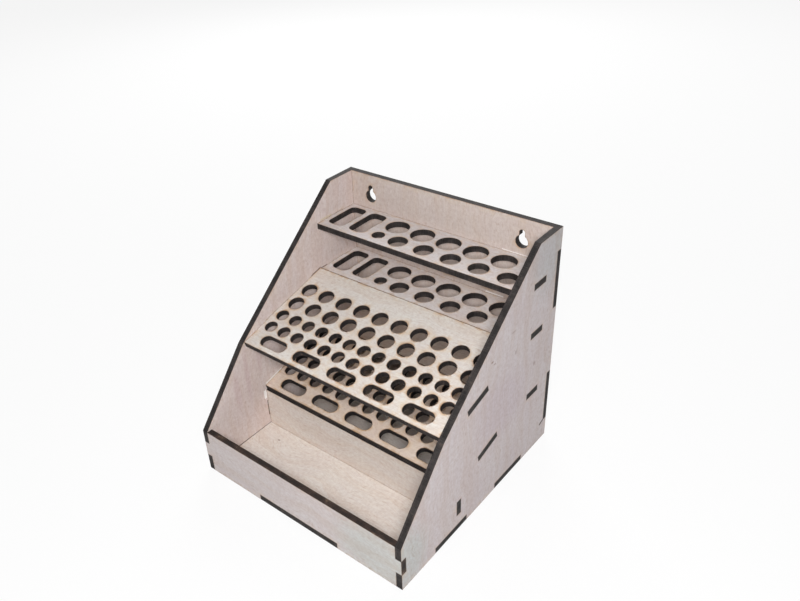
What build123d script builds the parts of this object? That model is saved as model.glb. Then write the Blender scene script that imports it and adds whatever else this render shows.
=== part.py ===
"""Bench organizer for small hand tools, cut from one thickness of plywood and slotted together.

Eleven flat panels lock by tabs and slots. Two sloping sides, a back with two hanging holes, a low front and
a bottom make the case, with an open tray behind the front. A divider closes the tray, three level shelves
lie against the back, and two tilted decks run up to the shelves from the front.

Both decks have one pattern of holes, and so have the top and middle shelves, whose holes are plumb above
each other. Each tool is guided at two heights and stands on the panel below.

X is to the right, Y to the back and Z up. The origin is under the middle of the footprint. All sizes are
in millimetres. Distances "from front" are measured from the outer face of the front panel.
"""

import os
from math import acos, ceil, cos, pi, radians, sin, tan

from build123d import *

# Sheet and fit
ply = 4.0
joint_gap = 0.1  # round every tab in its slot, and under and behind the decks
flat_sag = 0.05  # round holes are drawn with flats this close to the circle, because there are over a hundred

# Outside of the case
width = 160.0
depth = 158.5
height = 157.0

# Outline of the sides
lip_height = 32.5  # also the height of the front panel
knee_from_front = 39.5
knee_height = 78.5
crest_from_front = 133.0

# Shelves at the back: heights are those of the upper faces
shelf_depth = 37.5
shelf_tab = 13.0
top_shelf_height = 132.3
middle_shelf_height = 98.2
lower_shelf_height = 52.4

# Tilted decks
deck_angle = 14.5
deck_step = 0.8  # the decks' rear upper edges stand this much above the shelves behind them
upper_deck_from_front = 41.0
deck_tab = 20.5
deck_tab_from_edge = 22.0

# Tray behind the front panel
tray_depth = 49.0

# Tabs that join the case
lip_tab = 11.0  # upright tabs of the front panel and of the divider
lip_tab_height = 17.5  # their middle
bottom_end_tab = 64.0
bottom_side_tab = 31.7
bottom_side_tab_pitch = 63.4
back_tab = 39.0
back_tab_pitch = 88.4

# Hanging holes in the back: a round mouth with a straight neck above it
keyhole_pitch = 116.0
keyhole_pair_middle = -1.8  # the pair sits a little to the left
keyhole_from_top = 15.5  # middle of the mouth
keyhole_mouth = 4.2
keyhole_neck = 1.9
keyhole_rise = 6.0  # from the middle of the mouth to that of the neck's round end

# Holes in the top and middle shelves: distances are from the shelf's front edge
wide_hole = 16.0
wide_row = 25.4
wide_row_middle = 12.0
medium_hole = 12.8
medium_row = 9.8
medium_row_middle = 24.0
shelf_hole_pitch = 20.0
shelf_row_count = 5
pencil_hole = 8.6
pencil_hole_x = -31.8
blade_slot_width = 13.2
blade_slot_length = 27.4
blade_slot_corner = 4.0
blade_slot_pitch = 17.6
blade_slots_middle = -57.2
blade_row = 19.5

# Holes in the decks: distances are from the deck's front edge, along the slope
finger_slot_length = 20.5
finger_slot_width = 8.6
finger_slot_pitch = 28.3
finger_slot_count = 5
finger_row = 7.9
small_hole = 8.5
small_hole_pitch = 11.5
small_hole_count = 13
small_rows = (18.9, 30.2)
large_hole = 10.8
large_hole_pitch = 15.1
large_hole_count = 10
large_rows = (42.8, 56.5)

# Places that follow from the sizes above
front = -depth / 2
back = depth / 2
clear_width = width - 2 * ply
inner_face = clear_width / 2
shelf_front = back - ply - shelf_depth
shelf_middle = shelf_front + shelf_depth / 2
divider_front = front + ply + tray_depth
keyhole_height = height - keyhole_from_top
tilt = radians(deck_angle)

# The rear lower corner of each deck stops just short of a shelf, with its upper edge a step above it
deck_rear = shelf_front - joint_gap - ply * sin(tilt)
upper_deck_front = front + upper_deck_from_front
upper_deck_front_height = middle_shelf_height + deck_step - (deck_rear - upper_deck_front) * tan(tilt)
lower_deck_front_height = lower_shelf_height + deck_step - (deck_rear - divider_front) * tan(tilt)
divider_top = lower_deck_front_height - ply * cos(tilt) - joint_gap


def deck_plane(y, z):
    """The upper face of a deck whose front edge is at y, z: local y runs up the slope from there."""
    return Plane(origin=(0, y, z), x_dir=(1, 0, 0), z_dir=(0, -sin(tilt), cos(tilt)))


upper_deck_plane = deck_plane(upper_deck_front, upper_deck_front_height)
lower_deck_plane = deck_plane(divider_front, lower_deck_front_height)
upper_deck_length = (deck_rear - upper_deck_front) / cos(tilt)
lower_deck_length = (deck_rear - divider_front) / cos(tilt)


def upright(y):
    """The plane across the case whose sketch is seen from the front, at y."""
    return Plane.XZ.offset(-y)


def tab_slot(y, z, tab_length, angle=0.0):
    """Cuts the slot for one tab of a panel of this sheet through a side, centred at y, z."""
    with Locations((y, z)):
        Rectangle(tab_length + 2 * joint_gap, ply + 2 * joint_gap, rotation=angle, mode=Mode.SUBTRACT)


def tabbed_blank(start, length, tab_start, tab_length):
    """A panel across the clear width, from local y start, with a tab into each side."""
    with Locations((0, start + length / 2)):
        Rectangle(clear_width, length)
    with Locations((0, tab_start + tab_length / 2)):
        Rectangle(width, tab_length)


def round_hole(diameter):
    """A hole with the fewest flats that stay within the sag of its circle."""
    flats = ceil(pi / acos(1 - 2 * flat_sag / diameter))
    RegularPolygon(diameter / 2, flats, mode=Mode.SUBTRACT)


def shelf_blank():
    tabbed_blank(shelf_front, shelf_depth, shelf_middle - shelf_tab / 2, shelf_tab)


def shelf_holes():
    """Round holes in two rows, one pencil hole and two blade slots, measured from the front edge."""
    with Locations((wide_row_middle, shelf_front + wide_row)):
        with GridLocations(shelf_hole_pitch, 1, shelf_row_count, 1):
            round_hole(wide_hole)
    with Locations((medium_row_middle, shelf_front + medium_row)):
        with GridLocations(shelf_hole_pitch, 1, shelf_row_count, 1):
            round_hole(medium_hole)
    with Locations((pencil_hole_x, shelf_front + medium_row)):
        round_hole(pencil_hole)
    with Locations((blade_slots_middle, shelf_front + blade_row)):
        with GridLocations(blade_slot_pitch, 1, 2, 1):
            RectangleRounded(blade_slot_width, blade_slot_length, blade_slot_corner, mode=Mode.SUBTRACT)


def deck_holes():
    """One row of finger slots at the front, then rows of small and of large round holes."""
    with Locations((0, finger_row)):
        with GridLocations(finger_slot_pitch, 1, finger_slot_count, 1):
            SlotOverall(finger_slot_length, finger_slot_width, mode=Mode.SUBTRACT)
    for row in small_rows:
        with Locations((0, row)):
            with GridLocations(small_hole_pitch, 1, small_hole_count, 1):
                round_hole(small_hole)
    for row in large_rows:
        with Locations((0, row)):
            with GridLocations(large_hole_pitch, 1, large_hole_count, 1):
                round_hole(large_hole)


def upright_blank(bottom, top, tab_pitch, tab_length, tab_middle, tab_count):
    """A panel that stands between the sides, with tabs up each edge."""
    with Locations((0, (bottom + top) / 2)):
        Rectangle(clear_width, top - bottom)
    with Locations((0, tab_middle)):
        with GridLocations(1, tab_pitch, 1, tab_count):
            Rectangle(width, tab_length)


def bottom_tab_notch():
    """Room at a panel's foot for the long end tab of the bottom."""
    Rectangle(bottom_end_tab + 2 * joint_gap, 2 * (ply + joint_gap), mode=Mode.SUBTRACT)


# One side, seen along X, with the slots and notches that every other panel's tabs fill
with BuildSketch() as side:
    with BuildLine():
        Polyline(
            (front, 0),
            (front, lip_height),
            (front + knee_from_front, knee_height),
            (front + crest_from_front, height),
            (back, height),
            (back, 0),
            close=True,
        )
    make_face()
    with Locations((front, lip_tab_height)):
        Rectangle(2 * ply, lip_tab + 2 * joint_gap, mode=Mode.SUBTRACT)
    with Locations((back, height / 2)):
        with GridLocations(1, back_tab_pitch, 1, 2):
            Rectangle(2 * ply, back_tab + 2 * joint_gap, mode=Mode.SUBTRACT)
    with GridLocations(bottom_side_tab_pitch, 1, 2, 1):
        Rectangle(bottom_side_tab + 2 * joint_gap, 2 * (ply + joint_gap), mode=Mode.SUBTRACT)
    for shelf_height in (top_shelf_height, middle_shelf_height, lower_shelf_height):
        tab_slot(shelf_middle, shelf_height - ply / 2, shelf_tab)
    for plane in (upper_deck_plane, lower_deck_plane):
        tab = plane.from_local_coords(Vector(0, deck_tab_from_edge + deck_tab / 2, -ply / 2))
        tab_slot(tab.Y, tab.Z, deck_tab, deck_angle)
    tab_slot(divider_front + ply / 2, lip_tab_height, lip_tab, 90)

with BuildPart() as left_side:
    with BuildSketch(Plane.YZ.offset(-width / 2)):
        add(side.sketch)
    extrude(amount=ply)

with BuildPart() as right_side:
    with BuildSketch(Plane.YZ.offset(inner_face)):
        add(side.sketch)
    extrude(amount=ply)

# The bottom is flush underneath, and its tabs show in all four upright panels
with BuildPart() as bottom_panel:
    with BuildSketch(Plane.XY):
        Rectangle(clear_width, depth - 2 * ply)
        Rectangle(bottom_end_tab, depth)
        with GridLocations(1, bottom_side_tab_pitch, 1, 2):
            Rectangle(width, bottom_side_tab)
    extrude(amount=ply)

with BuildPart() as front_panel:
    with BuildSketch(upright(front)):
        upright_blank(0, lip_height, 1, lip_tab, lip_tab_height, 1)
        bottom_tab_notch()
    extrude(amount=-ply)

# Outline of one hanging hole, about the middle of its mouth
with BuildSketch() as keyhole:
    Circle(keyhole_mouth)
    with Locations((0, keyhole_rise / 2)):
        Rectangle(2 * keyhole_neck, keyhole_rise)
    with Locations((0, keyhole_rise)):
        Circle(keyhole_neck)

with BuildPart() as back_panel:
    with BuildSketch(upright(back - ply)):
        upright_blank(0, height, back_tab_pitch, back_tab, height / 2, 2)
        bottom_tab_notch()
        with Locations((keyhole_pair_middle, keyhole_height)):
            with GridLocations(keyhole_pitch, 1, 2, 1):
                add(keyhole.sketch, mode=Mode.SUBTRACT)
    extrude(amount=-ply)

# The divider closes the tray at the back and carries the lower deck's front edge
with BuildPart() as tray_divider:
    with BuildSketch(upright(divider_front)):
        upright_blank(ply, divider_top, 1, lip_tab, lip_tab_height, 1)
    extrude(amount=-ply)

with BuildPart() as top_shelf:
    with BuildSketch(Plane.XY.offset(top_shelf_height)):
        shelf_blank()
        shelf_holes()
    extrude(amount=-ply)

with BuildPart() as middle_shelf:
    with BuildSketch(Plane.XY.offset(middle_shelf_height)):
        shelf_blank()
        shelf_holes()
    extrude(amount=-ply)

# The lower shelf has no holes: what is put through the two above it stands here
with BuildPart() as lower_shelf:
    with BuildSketch(Plane.XY.offset(lower_shelf_height)):
        shelf_blank()
    extrude(amount=-ply)

with BuildPart() as upper_deck:
    with BuildSketch(upper_deck_plane):
        tabbed_blank(0, upper_deck_length, deck_tab_from_edge, deck_tab)
        deck_holes()
    extrude(amount=-ply)

with BuildPart() as lower_deck:
    with BuildSketch(lower_deck_plane):
        tabbed_blank(0, lower_deck_length, deck_tab_from_edge, deck_tab)
        deck_holes()
    extrude(amount=-ply)

pieces = {
    "left_side": left_side.part,
    "right_side": right_side.part,
    "bottom_panel": bottom_panel.part,
    "front_panel": front_panel.part,
    "back_panel": back_panel.part,
    "tray_divider": tray_divider.part,
    "top_shelf": top_shelf.part,
    "middle_shelf": middle_shelf.part,
    "lower_shelf": lower_shelf.part,
    "upper_deck": upper_deck.part,
    "lower_deck": lower_deck.part,
}

os.makedirs("parts", exist_ok=True)
for name, piece in pieces.items():
    piece.label = name
    export_step(piece, f"parts/{name}.step")
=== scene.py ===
"""Looks for the plywood tool organizer: laser-cut birch panels with charred edges, on a pale floor.

Each panel keeps its CAD solid. Its material reads the panel's own coordinates in millimetres: u and v across
the face and w through the sheet. The distance from each point to the nearest cut edge, worked out from the
same sizes as the solids, drives the scorch marks that the laser leaves.
"""

from functools import reduce
from math import cos, radians, sin, tan

import bpy
from mathutils import Matrix, Vector

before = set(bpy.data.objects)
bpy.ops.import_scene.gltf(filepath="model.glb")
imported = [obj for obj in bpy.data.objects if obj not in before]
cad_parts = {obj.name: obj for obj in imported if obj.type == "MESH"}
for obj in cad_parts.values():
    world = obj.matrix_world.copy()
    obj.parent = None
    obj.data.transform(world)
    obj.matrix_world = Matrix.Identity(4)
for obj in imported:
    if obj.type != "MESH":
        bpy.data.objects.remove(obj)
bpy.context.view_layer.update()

# ---------------------------------------------------------------- sizes of the panels, in millimetres
PLY = 4.0
JOINT_GAP = 0.1  # round every tab in its slot, and behind the decks
WIDTH, DEPTH, HEIGHT = 160.0, 158.5, 157.0
HALF = WIDTH / 2
CLEAR = HALF - PLY  # half the width between the sides
FRONT, BACK = -DEPTH / 2, DEPTH / 2

# The side's outline, in y and z
LIP_HEIGHT = 32.5  # also the height of the front panel
KNEE = (FRONT + 39.5, 78.5)
CREST = (FRONT + 133.0, HEIGHT)

# Shelves, by the heights of their upper faces
SHELF_DEPTH, SHELF_TAB = 37.5, 13.0
SHELF_FRONT = BACK - PLY - SHELF_DEPTH
SHELF_MIDDLE = SHELF_FRONT + SHELF_DEPTH / 2
TOP_SHELF, MIDDLE_SHELF, LOWER_SHELF = 132.3, 98.2, 52.4

# Tabs of the upright and bottom panels
LIP_TAB, LIP_TAB_HEIGHT = 11.0, 17.5  # front panel and divider
BOTTOM_END_TAB, BOTTOM_SIDE_TAB = 64.0, 31.7
BOTTOM_SIDE_TABS = (-31.7, 31.7)  # their middles, along the sides
BACK_TAB = 39.0
BACK_TABS = (34.3, 122.7)  # their middles, by height

# Decks
TILT = radians(14.5)
DECK_STEP = 0.8  # their rear upper edges stand this much above the shelves behind them
DECK_TAB, DECK_TAB_FROM_EDGE = 20.5, 22.0
DECK_TAB_MIDDLE = DECK_TAB_FROM_EDGE + DECK_TAB / 2
UPPER_DECK_FROM_FRONT, TRAY_DEPTH = 41.0, 49.0
DIVIDER_FRONT = FRONT + PLY + TRAY_DEPTH
DECK_REAR = SHELF_FRONT - JOINT_GAP - PLY * sin(TILT)


def deck_edge(front, shelf):
    """A deck's front upper edge in y and z, from the height of the shelf behind it."""
    return (front, shelf + DECK_STEP - (DECK_REAR - front) * tan(TILT))


UPPER_EDGE = deck_edge(FRONT + UPPER_DECK_FROM_FRONT, MIDDLE_SHELF)
LOWER_EDGE = deck_edge(DIVIDER_FRONT, LOWER_SHELF)


def deck_point(edge, along, down):
    """In y and z: a point along a deck's slope from its front edge, and down through the sheet."""
    return (
        edge[0] + along * cos(TILT) + down * sin(TILT),
        edge[1] + along * sin(TILT) - down * cos(TILT),
    )


def slot(along, across=PLY):
    """Half sizes of the slot for a tab."""
    return (along / 2 + JOINT_GAP, across / 2 + JOINT_GAP)


# Holes: middle is that of a row in x. row is in y on the shelves, and up the slope from a deck's front edge.
# The height of the keyholes is that of their mouths' middles.
WIDE_HOLES = {"middle": 12.0, "row": SHELF_FRONT + 25.4, "pitch": 20.0, "count": 5, "diameter": 16.0}
MEDIUM_HOLES = {"middle": 24.0, "row": SHELF_FRONT + 9.8, "pitch": 20.0, "count": 5, "diameter": 12.8}
PENCIL_HOLE = {"middle": -31.8, "row": SHELF_FRONT + 9.8, "pitch": 20.0, "count": 1, "diameter": 8.6}
BLADE_SLOTS = ((-66.0, SHELF_FRONT + 19.5), (-48.4, SHELF_FRONT + 19.5))
BLADE_SLOT_HALF, BLADE_SLOT_CORNER = (6.6, 13.7), 4.0
FINGER_SLOTS = {"row": 7.9, "pitch": 28.3, "count": 5, "length": 20.5, "width": 8.6}
SMALL_ROWS, SMALL_HOLES = (18.9, 30.2), {"middle": 0.0, "pitch": 11.5, "count": 13, "diameter": 8.5}
LARGE_ROWS, LARGE_HOLES = (42.8, 56.5), {"middle": 0.0, "pitch": 15.1, "count": 10, "diameter": 10.8}
KEYHOLES = {"middle": -1.8, "pitch": 116.0, "height": HEIGHT - 15.5, "mouth": 4.2, "neck": 1.9, "rise": 6.0}


# ---------------------------------------------------------------- node helpers
class Graph:
    """Adds nodes to one tree. Values are sockets or plain numbers."""

    def __init__(self, tree):
        self.nodes = tree.nodes
        self.links = tree.links

    def put(self, socket, value):
        if isinstance(value, bpy.types.NodeSocket):
            self.links.new(value, socket)
        else:
            socket.default_value = value

    def node(self, kind, **settings):
        made = self.nodes.new(kind)
        for name, value in settings.items():
            setattr(made, name, value)
        return made

    def math(self, operation, *values):
        made = self.node("ShaderNodeMath", operation=operation)
        for socket, value in zip(made.inputs, values):
            self.put(socket, value)
        return made.outputs[0]

    def vector(self, operation, *values):
        made = self.node("ShaderNodeVectorMath", operation=operation)
        for socket, value in zip(made.inputs, values):
            self.put(socket, value)
        wants_value = operation in ("DOT_PRODUCT", "LENGTH")
        return made.outputs["Value" if wants_value else "Vector"]

    def combine(self, x, y, z=0.0):
        made = self.node("ShaderNodeCombineXYZ")
        for socket, value in zip(made.inputs, (x, y, z)):
            self.put(socket, value)
        return made.outputs[0]

    def length(self, x, y):
        return self.vector("LENGTH", self.combine(x, y))

    def least(self, values):
        return reduce(lambda a, b: self.math("MINIMUM", a, b), values)

    def most(self, values):
        return reduce(lambda a, b: self.math("MAXIMUM", a, b), values)

    def ramp(self, value, low, high, start=0.0, end=1.0):
        """value from low to high becomes start to end, smoothly, and is held outside."""
        made = self.node("ShaderNodeMapRange", clamp=True)
        made.interpolation_type = "SMOOTHSTEP"
        settings = {"Value": value, "From Min": low, "From Max": high, "To Min": start, "To Max": end}
        for name, number in settings.items():
            self.put(made.inputs[name], number)
        return made.outputs["Result"]

    def noise(self, place, frequencies, third, detail, roughness=0.5, distortion=0.0):
        """Noise of two coordinates with a frequency per millimetre each, and of a third as it is."""
        scaled = [self.math("MULTIPLY", value, number) for value, number in zip(place, frequencies)]
        made = self.node("ShaderNodeTexNoise", noise_dimensions="3D")
        self.put(made.inputs["Vector"], self.combine(*scaled, third))
        settings = {"Scale": 1.0, "Detail": detail, "Roughness": roughness, "Distortion": distortion}
        for name, number in settings.items():
            made.inputs[name].default_value = number
        return made.outputs["Fac"]

    def mix(self, share, a, b, blend="MIX"):
        made = self.node("ShaderNodeMix", data_type="RGBA", blend_type=blend)
        self.put(made.inputs["Factor"], share)
        for name, value in (("A", a), ("B", b)):
            socket = next(s for s in made.inputs if s.name == name and s.type == "RGBA")
            self.put(socket, (*value, 1.0) if isinstance(value, tuple) else value)
        return next(s for s in made.outputs if s.type == "RGBA")


# ---------------------------------------------------------------- distances in the plane of a panel
# In millimetres, and positive outside the shape.
def box_distance(g, u, v, at, half, angle=0.0, corner=0.0):
    """Distance from a box of half sizes half, turned by angle, with corners rounded to the radius corner."""
    u, v = g.math("SUBTRACT", u, at[0]), g.math("SUBTRACT", v, at[1])
    if angle:
        c, s = cos(angle), sin(angle)
        u, v = (
            g.math("ADD", g.math("MULTIPLY", u, c), g.math("MULTIPLY", v, s)),
            g.math("SUBTRACT", g.math("MULTIPLY", v, c), g.math("MULTIPLY", u, s)),
        )
    a = g.math("SUBTRACT", g.math("ABSOLUTE", u), half[0] - corner)
    b = g.math("SUBTRACT", g.math("ABSOLUTE", v), half[1] - corner)
    outside = g.length(g.math("MAXIMUM", a, 0.0), g.math("MAXIMUM", b, 0.0))
    inside = g.math("MINIMUM", g.math("MAXIMUM", a, b), 0.0)
    return g.math("SUBTRACT", g.math("ADD", outside, inside), corner)


def in_row(g, u, middle, pitch, count):
    """u measured from the nearest hole of a row."""
    half = (count - 1) / 2
    u = g.math("SUBTRACT", u, middle)
    index = g.math("ROUND", g.math("MULTIPLY_ADD", u, 1 / pitch, half))
    index = g.math("MINIMUM", g.math("MAXIMUM", index, 0.0), count - 1.0)
    return g.math("SUBTRACT", u, g.math("MULTIPLY", g.math("SUBTRACT", index, half), pitch))


def circle_row(g, u, v, middle, row, pitch, count, diameter):
    u = in_row(g, u, middle, pitch, count)
    v = g.math("SUBTRACT", v, row)
    return g.math("SUBTRACT", g.length(u, v), diameter / 2)


def finger_row(g, u, v, row, pitch, count, length, width):
    u = g.math("ABSOLUTE", in_row(g, u, 0.0, pitch, count))
    u = g.math("MAXIMUM", g.math("SUBTRACT", u, (length - width) / 2), 0.0)
    v = g.math("SUBTRACT", v, row)
    return g.math("SUBTRACT", g.length(u, v), width / 2)


def keyholes(g, u, v, middle, pitch, height, mouth, neck, rise):
    """Two hanging holes: a round mouth with a straight neck that ends round, rise above it."""
    u = g.math("SUBTRACT", g.math("ABSOLUTE", g.math("SUBTRACT", u, middle)), pitch / 2)
    v = g.math("SUBTRACT", v, height)
    round_mouth = g.math("SUBTRACT", g.length(u, v), mouth)
    straight_neck = box_distance(g, u, v, (0.0, rise / 2), (neck, rise / 2 + neck), corner=neck)
    return g.math("MINIMUM", round_mouth, straight_neck)


def within(g, u, v, boxes):
    """Distance in from the outline of a panel made of boxes."""
    return g.most([g.math("MULTIPLY", box_distance(g, u, v, at, half), -1.0) for at, half in boxes])


# ---------------------------------------------------------------- each panel's distance to its nearest cut
def side_cuts(g, u, v):
    corners = [(FRONT, 0.0), (FRONT, LIP_HEIGHT), KNEE, CREST, (BACK, HEIGHT), (BACK, 0.0)]
    found = []
    for (u0, v0), (u1, v1) in zip(corners, corners[1:] + corners[:1]):
        run = ((u1 - u0) ** 2 + (v1 - v0) ** 2) ** 0.5
        a, b = (v1 - v0) / run, -(u1 - u0) / run
        found.append(g.math("MULTIPLY_ADD", u, a, g.math("MULTIPLY_ADD", v, b, -a * u0 - b * v0)))
    for height in (TOP_SHELF, MIDDLE_SHELF, LOWER_SHELF):
        found.append(box_distance(g, u, v, (SHELF_MIDDLE, height - PLY / 2), slot(SHELF_TAB)))
    for edge in (UPPER_EDGE, LOWER_EDGE):
        at = deck_point(edge, DECK_TAB_MIDDLE, PLY / 2)
        found.append(box_distance(g, u, v, at, slot(DECK_TAB), TILT))
    divider = (DIVIDER_FRONT + PLY / 2, LIP_TAB_HEIGHT)
    found.append(box_distance(g, u, v, divider, slot(PLY, LIP_TAB)))
    found.append(box_distance(g, u, v, (FRONT, LIP_TAB_HEIGHT), (PLY, LIP_TAB / 2 + JOINT_GAP)))
    for at in BOTTOM_SIDE_TABS:
        found.append(box_distance(g, u, v, (at, 0.0), slot(BOTTOM_SIDE_TAB, 2 * PLY)))
    for at in BACK_TABS:
        found.append(box_distance(g, u, v, (BACK, at), (PLY, BACK_TAB / 2 + JOINT_GAP)))
    return g.least(found)


def bottom_cuts(g, u, v):
    side_tabs = [((0.0, at), (HALF, BOTTOM_SIDE_TAB / 2)) for at in BOTTOM_SIDE_TABS]
    floor_box, end_tabs = (CLEAR, BACK - PLY), (BOTTOM_END_TAB / 2, BACK)
    return within(g, u, v, [((0.0, 0.0), floor_box), ((0.0, 0.0), end_tabs), *side_tabs])


def foot_notch(g, u, v):
    return box_distance(g, u, v, (0.0, 0.0), slot(BOTTOM_END_TAB, 2 * PLY))


def front_cuts(g, u, v):
    plate = ((0.0, LIP_HEIGHT / 2), (CLEAR, LIP_HEIGHT / 2))
    tabs = ((0.0, LIP_TAB_HEIGHT), (HALF, LIP_TAB / 2))
    return g.least([within(g, u, v, [plate, tabs]), foot_notch(g, u, v)])


def back_cuts(g, u, v):
    plate = ((0.0, HEIGHT / 2), (CLEAR, HEIGHT / 2))
    tabs = [((0.0, at), (HALF, BACK_TAB / 2)) for at in BACK_TABS]
    return g.least([within(g, u, v, [plate, *tabs]), foot_notch(g, u, v), keyholes(g, u, v, **KEYHOLES)])


def divider_cuts(g, u, v):
    top = LOWER_EDGE[1] - PLY * cos(TILT)
    plate = ((0.0, (PLY + top) / 2), (CLEAR, (top - PLY) / 2))
    tabs = ((0.0, LIP_TAB_HEIGHT), (HALF, LIP_TAB / 2))
    return within(g, u, v, [plate, tabs])


def plain_shelf_cuts(g, u, v):
    plate = ((0.0, SHELF_MIDDLE), (CLEAR, SHELF_DEPTH / 2))
    tabs = ((0.0, SHELF_MIDDLE), (HALF, SHELF_TAB / 2))
    return within(g, u, v, [plate, tabs])


def shelf_cuts(g, u, v):
    found = [plain_shelf_cuts(g, u, v)]
    for holes in (WIDE_HOLES, MEDIUM_HOLES, PENCIL_HOLE):
        found.append(circle_row(g, u, v, **holes))
    for at in BLADE_SLOTS:
        found.append(box_distance(g, u, v, at, BLADE_SLOT_HALF, corner=BLADE_SLOT_CORNER))
    return g.least(found)


def deck_cuts(edge):
    """v runs up the slope from the front edge."""
    half = (DECK_REAR - edge[0]) / cos(TILT) / 2
    plate = ((0.0, half), (CLEAR, half))
    tabs = ((0.0, DECK_TAB_MIDDLE), (HALF, DECK_TAB / 2))

    def cuts(g, u, v):
        found = [within(g, u, v, [plate, tabs]), finger_row(g, u, v, **FINGER_SLOTS)]
        for rows, holes in ((SMALL_ROWS, SMALL_HOLES), (LARGE_ROWS, LARGE_HOLES)):
            for row in rows:
                found.append(circle_row(g, u, v, row=row, **holes))
        return g.least(found)

    return cuts


# ---------------------------------------------------------------- colours, in linear light
CHAR_DARK = (0.0085, 0.0070, 0.0068)
CHAR_LIGHT = (0.043, 0.0355, 0.034)
CHAR_RED = (0.060, 0.038, 0.030)
CHIPPED = (0.42, 0.29, 0.20)
SCORCH = (0.46, 0.27, 0.135)
SMOKE = (0.66, 0.49, 0.31)
BURNT = (0.13, 0.075, 0.045)
# Faces of the panels, partly the wood's tone and partly painted light. ROSY, on the inner faces of the sides
# and front panel, is warmed with painted bounce light. GREY and SILVER, on their outer faces, are darkened
# with painted shade. BRIGHT, on the middle shelf, and TAN, on the lower deck, are lightened to paint out the
# shade inside the case.
PALE = (0.748, 0.722, 0.685)
CREAM = (0.820, 0.782, 0.738)
GREY = (0.612, 0.572, 0.586)
SILVER = (0.648, 0.606, 0.608)
ROSY = (0.735, 0.663, 0.650)
WARM = (0.790, 0.715, 0.650)
COOL = (0.685, 0.655, 0.660)
BRIGHT = (0.800, 0.772, 0.775)
DUSTY = (0.645, 0.578, 0.545)
TAN = (0.760, 0.662, 0.580)
# Marks, which multiply the face's colour. FLECK and STAIN are spots of the wood itself, and the last three
# are painted shade, where the light falls off across the right side and the front panel.
FLECK = (0.45, 0.33, 0.27)
STAIN = (0.90, 0.82, 0.84)
SHADE = (0.84, 0.89, 0.89)
COOL_PAINTED_SHADE = (0.87, 0.97, 0.95)
MAUVE_PAINTED_SHADE = (0.94, 0.91, 0.94)
# Strokes, which cover it
GAP = (0.055, 0.030, 0.020)
GLUE = (0.93, 0.92, 0.91)
RESIN = (0.60, 0.50, 0.30)

# ---------------------------------------------------------------- plywood
WAVER = 26.0  # how far the grain wanders sideways, in millimetres from end to end of its noise
GLUE_LINE = 0.67  # millimetres from the middle of the sheet to each glue line between its three plies
FACE_LIMIT = 0.7  # a normal further than this along the sheet's own belongs to a face
FACE_SHIFT, PANEL_SHIFT = 37.0, 61.0  # how far apart the faces and the panels lie in the noises
WOOD_ROUGH, FIBRE_ROUGH, GLUE_ROUGH, EDGE_ROUGH = 0.54, 0.20, -0.30, 0.16  # the last three are added
SPECULAR = 0.28
FIBRE_RELIEF, PORE_RELIEF, STREAK_RELIEF = 0.6, 0.5, 1.5
BUMP_STRENGTH, BUMP_DISTANCE = 0.35, 0.00010
MILLIMETRES = 1000.0  # in a metre

# Noises: frequencies per millimetre, then detail, roughness and distortion
WAVER_NOISE = ((0.018, 0.03), 2.0)
GRAIN_NOISES = {
    "bands": ((0.010, 0.16), 4.0, 0.55, 0.35),
    "fibres": ((0.09, 2.3), 4.0, 0.62),
    "pores": ((0.42, 5.6), 2.0, 0.5),
    "flecks": ((0.22, 1.25), 2.0, 0.55),
}
EVEN_NOISES = {
    "clouds": ((0.035, 0.035), 3.0, 0.6),
    "specks": ((0.9, 0.9), 1.0),
    "mottle": ((0.42, 0.42), 4.0, 0.72),
    "ragged": ((1.3, 1.3), 3.0, 0.6),
    "smoke": ((0.16, 0.16), 3.0, 0.6),
    "burns": ((0.07, 0.07), 2.0, 0.6),
}
# What darkens the wood, in this order: the noise, its low and high, the share at high, and the tint
TINTS = (
    ("bands", 0.40, 0.66, 0.62, (0.93, 0.87, 0.82)),
    ("clouds", 0.35, 0.70, 0.50, (0.95, 0.92, 0.93)),
    ("mottle", 0.36, 0.64, 1.00, (0.90, 0.87, 0.86)),
    ("fibres", 0.36, 0.70, 0.75, (0.90, 0.85, 0.81)),
    ("flecks", 0.55, 0.72, 0.80, (0.84, 0.76, 0.71)),
    ("pores", 0.61, 0.74, 0.60, (0.72, 0.60, 0.52)),
    ("specks", 0.745, 0.79, 0.45, (0.60, 0.46, 0.38)),
)


def face_noises(g, u, v, grain, shift):
    """The noises of a face by name. Those of the grain run along its fibre and waver across it."""
    fibre, cross = (u, v) if grain == "u" else (v, u)
    frequencies, detail = WAVER_NOISE
    waver = g.noise((fibre, cross), frequencies, shift, detail)
    cross = g.math("MULTIPLY_ADD", g.math("SUBTRACT", waver, 0.5), WAVER, cross)
    found = {}
    for place, noises in (((fibre, cross), GRAIN_NOISES), ((u, v), EVEN_NOISES)):
        for name, (frequencies, *texture) in noises.items():
            found[name] = g.noise(place, frequencies, shift, *texture)
    return found


def marked_and_shaded(g, wood, u, v, on_front, fibres, marks_and_shades):
    """Soft spots on the front face, with edges frayed along the fibres: flecks and stains of the wood, and
    painted shade.
    """
    for mark_u, mark_v, radius_u, radius_v, colour, strength in marks_and_shades:
        du = g.math("DIVIDE", g.math("SUBTRACT", u, mark_u), radius_u)
        dv = g.math("DIVIDE", g.math("SUBTRACT", v, mark_v), radius_v)
        uneven = g.math("MULTIPLY_ADD", g.math("SUBTRACT", fibres, 0.5), 1.3, g.length(du, dv))
        share = g.math("MULTIPLY", g.ramp(uneven, 0.35, 1.10, start=strength, end=0.0), on_front)
        wood = g.mix(share, wood, colour, "MULTIPLY")
    return wood


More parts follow.
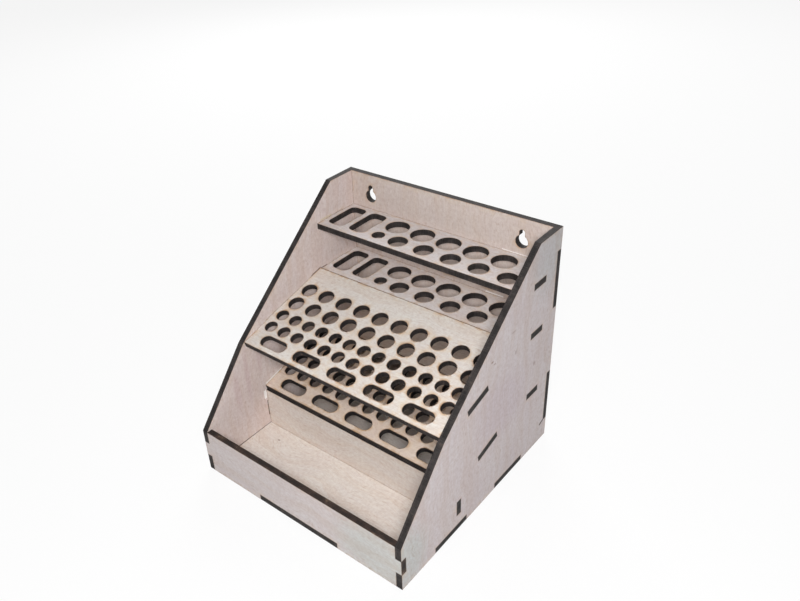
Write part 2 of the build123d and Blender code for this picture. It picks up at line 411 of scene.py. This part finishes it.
def scorched(g, wood, distance, noises, scorch):
    """Smoke stain, scorch halo and burnt rim beside each cut, uneven along it."""
    smoke, ragged = noises["smoke"], noises["ragged"]
    haze = g.ramp(distance, 0.2, 5.0, start=0.55, end=0.0)
    haze = g.math("MULTIPLY", haze, g.ramp(smoke, 0.42, 0.66))
    wood = g.mix(g.math("MULTIPLY", haze, scorch), wood, SMOKE)
    reach = g.math("MULTIPLY_ADD", g.ramp(smoke, 0.36, 0.66), 1.7, 0.5)
    halo = g.ramp(g.math("DIVIDE", distance, reach), 0.0, 1.0, start=1.0, end=0.0)
    strength = g.ramp(noises["burns"], 0.40, 0.62, start=0.55, end=1.8)
    halo = g.math("MULTIPLY", halo, g.math("MULTIPLY", ragged, strength))
    wood = g.mix(g.math("MULTIPLY", halo, scorch), wood, SCORCH)
    rim = g.math("MULTIPLY_ADD", ragged, -0.40, distance)
    return g.mix(g.ramp(rim, -0.10, 0.10, start=0.80, end=0.0), wood, BURNT)


def stroked(g, wood, u, v, on_front, ragged, strokes):
    """Gaps and dried glue on the front face. Gives the wood and the share of it that glue covers."""
    glued = 0.0
    for at, half, angle, colour, strength in strokes:
        uneven = g.math("MULTIPLY_ADD", ragged, -0.9, box_distance(g, u, v, at, half, angle))
        share = g.math("MULTIPLY", g.ramp(uneven, -0.60, -0.20, start=strength, end=0.0), on_front)
        wood = g.mix(share, wood, colour)
        if colour == GLUE:
            glued = g.math("MAXIMUM", glued, share)
    return wood, glued


def charred(g, u, v, w, char, pale):
    """Cut edges, streaked along the beam, with the plies just showing. Gives colour and relief."""
    streaks = g.noise((u, v), (2.4, 2.4), g.math("MULTIPLY", w, 0.10), 4.0, 0.65)
    patches = g.noise((u, v), (0.13, 0.13), g.math("MULTIPLY", w, 0.25), 3.0, 0.6)
    through = g.math("ABSOLUTE", w)
    from_line = g.math("ABSOLUTE", g.math("SUBTRACT", through, GLUE_LINE))
    line = g.ramp(from_line, 0.05, 0.16, start=1.0, end=0.0)
    core = g.ramp(through, 0.60, 0.74, start=1.0, end=0.0)
    soot = g.math("ADD", g.ramp(streaks, 0.34, 0.66, end=0.65), g.ramp(patches, 0.38, 0.66, end=0.60))
    soot = g.math("SUBTRACT", soot, g.math("MULTIPLY", line, 0.30))
    soot = g.math("MAXIMUM", g.math("SUBTRACT", soot, g.math("MULTIPLY", core, 0.16)), 0.0)
    burnt = g.mix(g.math("MINIMUM", soot, 1.0), CHAR_DARK, char)
    chips = g.math("MULTIPLY", g.ramp(patches, 0.60, 0.68), g.ramp(streaks, 0.50, 0.60, end=pale))
    relief = g.math("SUBTRACT", g.math("MULTIPLY", streaks, STREAK_RELIEF), line)
    return g.mix(chips, burnt, CHIPPED), relief


def plywood(
    name, origin, across, up, cuts, grain, front, back, seed, scorch,
    marks_and_shades=(), strokes=(), char=CHAR_LIGHT, pale=0.12,
):
    """One panel's material. origin and the two directions place its face; grain is "u" or "v".

    front is the colour of the face that the normal (across x up) points from, and back that of the other.
    marks are spots on the front face (u, v, radius in u, radius in v, colour, strength), flecks and stains of
    the wood and painted shade; strokes are gaps and dried glue on it (place, half size, angle, colour,
    strength), char is the lighter colour of the charred edges, and pale is how far their lightest patches go.
    """
    material = bpy.data.materials.new(name)
    material.use_nodes = True
    g = Graph(material.node_tree)
    shader = g.nodes["Principled BSDF"]
    across, up = Vector(across), Vector(up)
    normal = across.cross(up)

    # The panel's own coordinates, and whether this is a cut edge or the front face
    place = g.node("ShaderNodeTexCoord").outputs["Object"]
    place = g.vector("SUBTRACT", place, tuple(c / MILLIMETRES for c in origin))
    place = g.vector("MULTIPLY", place, (MILLIMETRES, MILLIMETRES, MILLIMETRES))
    u, v, w = (g.vector("DOT_PRODUCT", place, tuple(axis)) for axis in (across, up, normal))
    true_normal = g.node("ShaderNodeNewGeometry").outputs["True Normal"]
    facing = g.vector("DOT_PRODUCT", true_normal, tuple(normal))
    on_edge = g.math("LESS_THAN", g.math("ABSOLUTE", facing), FACE_LIMIT)
    on_front = g.math("GREATER_THAN", facing, FACE_LIMIT)

    # Each panel and each of its faces has its own place in the noises
    shift = g.math("MULTIPLY_ADD", on_front, FACE_SHIFT, seed * PANEL_SHIFT)
    noises = face_noises(g, u, v, grain, shift)
    fibres = noises["fibres"]

    wood = g.mix(on_front, back, front)
    for noise, low, high, share, tint in TINTS:
        wood = g.mix(g.ramp(noises[noise], low, high, end=share), wood, tint, "MULTIPLY")
    wood = marked_and_shaded(g, wood, u, v, on_front, fibres, marks_and_shades)
    wood = scorched(g, wood, cuts(g, u, v), noises, scorch)
    wood, glued = stroked(g, wood, u, v, on_front, noises["ragged"], strokes)
    edge, edge_relief = charred(g, u, v, w, char, pale)
    g.put(shader.inputs["Base Color"], g.mix(on_edge, wood, edge))

    rough = g.math("MULTIPLY_ADD", fibres, FIBRE_ROUGH, WOOD_ROUGH)
    rough = g.math("MULTIPLY_ADD", glued, GLUE_ROUGH, rough)
    g.put(shader.inputs["Roughness"], g.math("MULTIPLY_ADD", on_edge, EDGE_ROUGH, rough))
    shader.inputs["Specular IOR Level"].default_value = SPECULAR

    pits = g.ramp(noises["pores"], 0.62, 0.78, end=PORE_RELIEF)
    relief = g.math("SUBTRACT", g.math("MULTIPLY", fibres, FIBRE_RELIEF), pits)
    bump = g.node("ShaderNodeBump")
    bump.inputs["Strength"].default_value = BUMP_STRENGTH
    bump.inputs["Distance"].default_value = BUMP_DISTANCE
    g.put(bump.inputs["Height"], g.math("MULTIPLY_ADD", on_edge, edge_relief, relief))
    g.put(shader.inputs["Normal"], bump.outputs["Normal"])
    return material


# ---------------------------------------------------------------- the panels
X, Y, Z = (1.0, 0.0, 0.0), (0.0, 1.0, 0.0), (0.0, 0.0, 1.0)
SLOPE = (0.0, cos(TILT), sin(TILT))
SIDE = HALF - PLY / 2
upper_cuts, lower_cuts = deck_cuts(UPPER_EDGE), deck_cuts(LOWER_EDGE)
upper_origin = (0.0, *deck_point(UPPER_EDGE, 0.0, PLY / 2))
lower_origin = (0.0, *deck_point(LOWER_EDGE, 0.0, PLY / 2))


def level(height):
    """Origin of a level panel, from the height of its upper face."""
    return (0.0, 0.0, height - PLY / 2)


def upright(front):
    """Origin of an upright panel, from where its front face stands."""
    return (0.0, front + PLY / 2, 0.0)


# Origin, across, up, cuts, grain, front colour, back colour, seed and scorch
# Inner faces take ROSY and outer faces GREY or SILVER: painted bounce light and painted shade on one wood.
# BRIGHT and TAN are lightened to paint out the shade under the shelves and decks.
panels = {
    "left_side": ((-SIDE, 0.0, 0.0), Y, Z, side_cuts, "v", ROSY, GREY, 1, 0.35),
    "right_side": ((SIDE, 0.0, 0.0), Y, Z, side_cuts, "v", GREY, ROSY, 2, 0.30),
    "bottom_panel": (level(PLY), X, Y, bottom_cuts, "u", CREAM, WARM, 3, 0.35),
    "front_panel": (upright(FRONT), X, Z, front_cuts, "u", SILVER, ROSY, 4, 0.30),
    "back_panel": (upright(BACK - PLY), X, Z, back_cuts, "v", DUSTY, CREAM, 5, 0.55),
    "tray_divider": (upright(DIVIDER_FRONT), X, Z, divider_cuts, "u", CREAM, WARM, 6, 0.35),
    "top_shelf": (level(TOP_SHELF), X, Y, shelf_cuts, "u", COOL, WARM, 7, 0.60),
    "middle_shelf": (level(MIDDLE_SHELF), X, Y, shelf_cuts, "u", BRIGHT, WARM, 8, 0.60),
    "lower_shelf": (level(LOWER_SHELF), X, Y, plain_shelf_cuts, "u", WARM, WARM, 9, 0.45),
    "upper_deck": (upper_origin, X, SLOPE, upper_cuts, "u", PALE, WARM, 10, 0.90),
    "lower_deck": (lower_origin, X, SLOPE, lower_cuts, "u", TAN, WARM, 11, 0.90),
}
deck_glue = LOWER_EDGE[1] + 8.4 * tan(TILT) + 0.6  # along the lower deck, on the left side
extras = {
    "left_side": {
        "marks_and_shades": [
            (-50.0, 46.0, 3.5, 20.0, STAIN, 0.6),
            (-40.0, 52.0, 2.5, 26.0, STAIN, 0.7),
            (-28.5, 60.0, 2.5, 16.0, STAIN, 0.5),
        ],
        "strokes": [
            ((-52.0, 4.1), (26.0, 0.42), 0.0, GAP, 0.85),
            ((-26.6, 17.6), (0.30, 6.2), 0.0, GAP, 0.85),
            ((32.0, 98.1), (5.0, 0.30), TILT, GAP, 0.80),
            ((40.5, 98.5), (3.0, 0.30), 0.0, GAP, 0.70),
            ((46.5, 133.2), (5.5, 0.50), 0.0, RESIN, 0.60),
            ((-17.8, deck_glue), (8.0, 0.70), TILT, GLUE, 0.80),
            ((-27.6, 29.8), (1.1, 3.4), 0.0, GLUE, 0.90),
        ],
    },
    "right_side": {
        "marks_and_shades": [
            (7.0, 103.9, 1.6, 0.9, FLECK, 0.85),
            (9.6, 101.2, 1.2, 0.7, FLECK, 0.75),
            (32.7, 95.7, 1.3, 2.0, FLECK, 0.50),
            (56.3, 73.3, 1.6, 2.4, FLECK, 0.50),
            (29.0, 111.8, 3.2, 0.8, FLECK, 0.45),
            # The last three spots are painted shade: darker towards the top rear, the front lower corner and
            # the middle.
            (70.0, 146.0, 30.0, 34.0, SHADE, 1.0),
            (-74.0, 18.0, 22.0, 28.0, COOL_PAINTED_SHADE, 1.0),
            (20.0, 64.0, 34.0, 28.0, MAUVE_PAINTED_SHADE, 1.0),
        ],
        "strokes": [((73.0, 14.1), (2.6, 0.75), 0.35, GAP, 0.95)],
    },
    "bottom_panel": {"marks_and_shades": [(-58.4, -36.3, 1.2, 0.8, FLECK, 0.9)]},
    # This spot is painted shade, darker towards the right end of the front panel's outer face.
    "front_panel": {"marks_and_shades": [(64.0, 15.0, 38.0, 30.0, COOL_PAINTED_SHADE, 0.9)], "char": CHAR_RED, "pale": 0.75},
    "back_panel": {
        "marks_and_shades": [(4.0, 102.5, 10.0, 2.8, SMOKE, 0.7), (34.0, 101.5, 7.0, 2.0, SMOKE, 0.6)],
        "strokes": [
            ((39.0, 98.8), (6.5, 0.40), 0.0, GLUE, 0.70),
            ((52.0, 132.8), (9.0, 0.35), 0.0, GLUE, 0.55),
        ],
    },
}
for node, settings in panels.items():
    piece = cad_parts[node]
    piece.data.materials.clear()
    piece.data.materials.append(plywood(f"plywood_{node}", *settings, **extras.get(node, {})))

# ---------------------------------------------------------------- floor and surroundings, in metres
FLOOR_HALF = 6.0
FLOOR_DROP = 0.00005  # keeps the floor just clear of the bottom panel
PAPER = (0.86, 0.86, 0.86, 1.0)
WHITE = (1.0, 1.0, 1.0, 1.0)
FLOOR_GLOW = 0.88  # the share of the floor that is plain white to the camera; the rest takes the shadow
AMBIENT, BACKDROP = 0.25, 1.0  # the world as it lights the object, and as it is seen


def seen(g):
    """1 for rays from the camera and in reflections, and 0 for those that carry light to the object."""
    light_path = g.node("ShaderNodeLightPath")
    return g.math("MAXIMUM", light_path.outputs["Is Camera Ray"], light_path.outputs["Is Glossy Ray"])


floor_mesh = bpy.data.meshes.new("floor")
floor_corners = [(x * FLOOR_HALF, y * FLOOR_HALF, 0) for x, y in ((-1, -1), (1, -1), (1, 1), (-1, 1))]
floor_mesh.from_pydata(floor_corners, [], [(0, 1, 2, 3)])
floor = bpy.data.objects.new("floor", floor_mesh)
floor.location.z = -FLOOR_DROP
bpy.context.collection.objects.link(floor)
paper = bpy.data.materials.new("paper_floor")
paper.use_nodes = True
g = Graph(paper.node_tree)
g.nodes.remove(g.nodes["Principled BSDF"])
diffuse = g.node("ShaderNodeBsdfDiffuse")
diffuse.inputs["Color"].default_value = PAPER
glow = g.node("ShaderNodeEmission")
glow.inputs["Strength"].default_value = 1.0
blend = g.node("ShaderNodeMixShader")
g.put(blend.inputs[0], g.math("MULTIPLY", seen(g), FLOOR_GLOW))
g.links.new(diffuse.outputs[0], blend.inputs[1])
g.links.new(glow.outputs[0], blend.inputs[2])
g.links.new(blend.outputs[0], g.nodes["Material Output"].inputs["Surface"])
floor.data.materials.append(paper)

world = bpy.data.worlds.new("studio")
bpy.context.scene.world = world
world.use_nodes = True
g = Graph(world.node_tree)
background = g.nodes["Background"]
background.inputs["Color"].default_value = WHITE
g.put(background.inputs["Strength"], g.math("MULTIPLY_ADD", seen(g), BACKDROP - AMBIENT, AMBIENT))

# ---------------------------------------------------------------- light: place, side of the square, power
LAMP_TARGET = Vector((0.0, 0.0, 0.06))
softboxes = {
    "key_light": ((0.262, -0.300, 0.376), 0.12, 2.1),  # beside the lens, as a flash is
    "top_light": ((0.10, -0.20, 1.25), 0.8, 1.3),
    "back_light": ((-0.70, 0.90, 0.70), 0.8, 10.0),
}
for name, (place, size, power) in softboxes.items():
    lamp = bpy.data.lights.new(name, "AREA")
    lamp.shape = "RECTANGLE"
    lamp.size = lamp.size_y = size
    lamp.energy = power
    softbox = bpy.data.objects.new(name, lamp)
    softbox.location = place
    softbox.rotation_euler = (LAMP_TARGET - Vector(place)).to_track_quat("-Z", "Y").to_euler()
    bpy.context.collection.objects.link(softbox)

# ---------------------------------------------------------------- camera, solved from the case's edges
AZIMUTH, ELEVATION, ROLL = radians(41.2), radians(32.79), radians(-3.4)
CAMERA_PLACE = (0.2565, -0.29389, 0.3651)
SENSOR, FOCAL = 36.0, 35.19  # millimetres
SHIFT_X, SHIFT_Y = 0.0374, 0.0091
CLIP_NEAR, CLIP_FAR = 0.01, 50.0

away = Vector((sin(AZIMUTH) * cos(ELEVATION), -cos(AZIMUTH) * cos(ELEVATION), sin(ELEVATION)))
sideways = Vector((0, 0, 1)).cross(away).normalized()
upwards = away.cross(sideways)
right = sideways * cos(ROLL) + upwards * sin(ROLL)
above = upwards * cos(ROLL) - sideways * sin(ROLL)
lens = bpy.data.cameras.new("photo_camera")
lens.sensor_width, lens.lens = SENSOR, FOCAL
lens.shift_x, lens.shift_y = SHIFT_X, SHIFT_Y
lens.clip_start, lens.clip_end = CLIP_NEAR, CLIP_FAR
camera = bpy.data.objects.new("photo_camera", lens)
rows = [(right[i], above[i], away[i], CAMERA_PLACE[i]) for i in range(3)]
camera.matrix_world = Matrix((*rows, (0.0, 0.0, 0.0, 1.0)))
bpy.context.collection.objects.link(camera)
bpy.context.scene.camera = camera
bpy.context.scene.view_settings.view_transform = "Standard"
